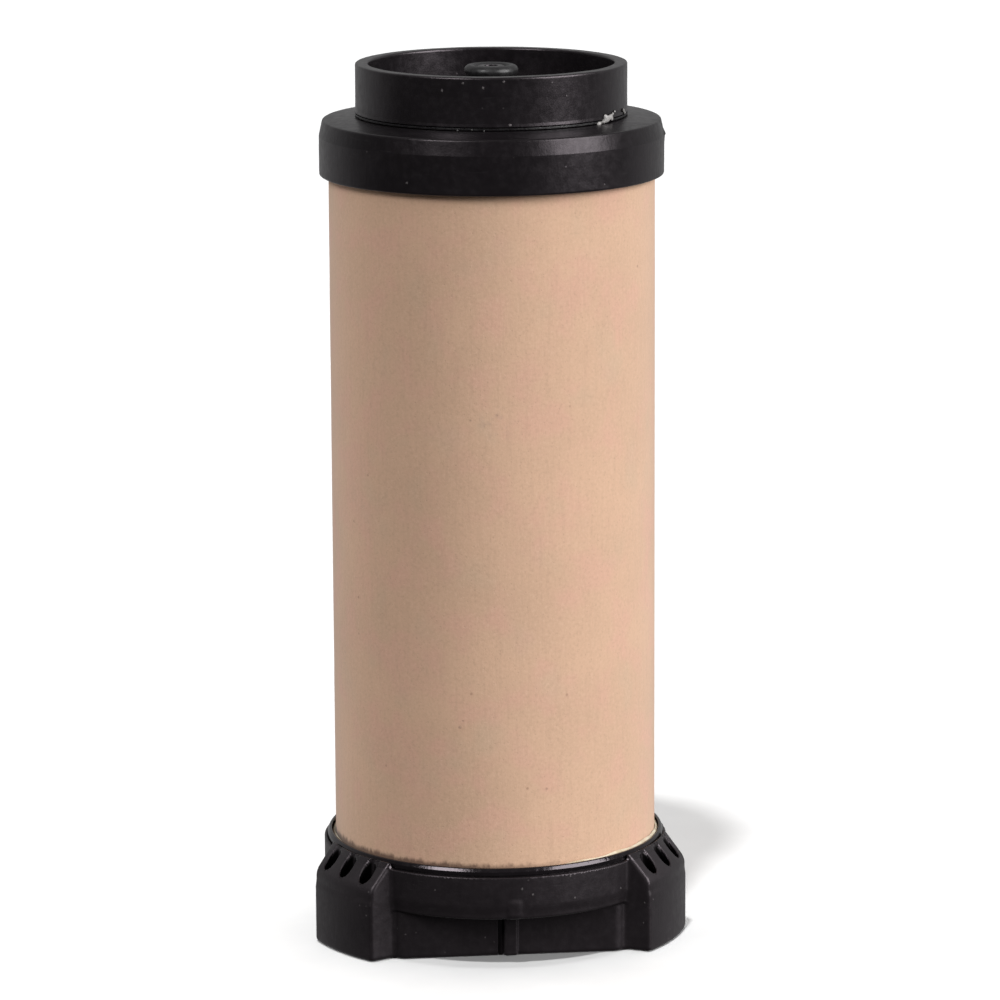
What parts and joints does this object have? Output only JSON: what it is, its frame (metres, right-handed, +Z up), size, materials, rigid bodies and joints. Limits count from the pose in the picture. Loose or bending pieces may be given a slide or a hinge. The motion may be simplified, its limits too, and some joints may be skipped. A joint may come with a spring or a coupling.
{
  "type": "pump water filter cartridge",
  "caption": "Replaceable ceramic and carbon cartridge of a hand-pump water filter: potted tan ceramic tube, black outlet cap with collar and O-ring spigot, lugged base.",
  "frame": {"origin": "on the cartridge's own axis, at the flat underside of the base hub and lugs", "axes": "+Z up along the cartridge towards the outlet collar; -Y is the outward normal of one of the base's three key flats, so the lugs point to +Y and to 60 degrees either side of -Y"},
  "size_m": [0.0582, 0.0573, 0.1358],
  "materials": {
    "ceramic": "unglazed porous tan ceramic with fine specks and light scuffs",
    "fleece": "white non-woven pre-filter fleece",
    "carbon": "dull pressed activated carbon block",
    "core_gasket": "soft closed-cell foam pad",
    "porous_disc": "sintered porous white plastic",
    "potting": "cream cured potting resin",
    "black_plastic": "satin black moulded plastic",
    "base_plastic": "satin black moulded plastic, slightly duller than the caps",
    "bond_grey": "translucent grey adhesive line",
    "oring_rubber": "smooth black O-ring rubber"
  },
  "bodies": {
    "root": {"ceramic_tube": "ceramic", "fleece_sleeve": "fleece", "carbon_core": "carbon", "core_bottom_gasket": "core_gasket", "core_top_gasket": "core_gasket", "fines_disc": "porous_disc", "lower_potting_ring": "potting", "upper_potting_ring": "potting", "lower_end_cap": "black_plastic", "lug_base": "base_plastic", "outlet_cap": "black_plastic", "collar_bond": "bond_grey", "outlet_collar": "black_plastic", "outlet_spigot": "black_plastic", "spigot_oring": "oring_rubber"}
  },
  "joints": []
}
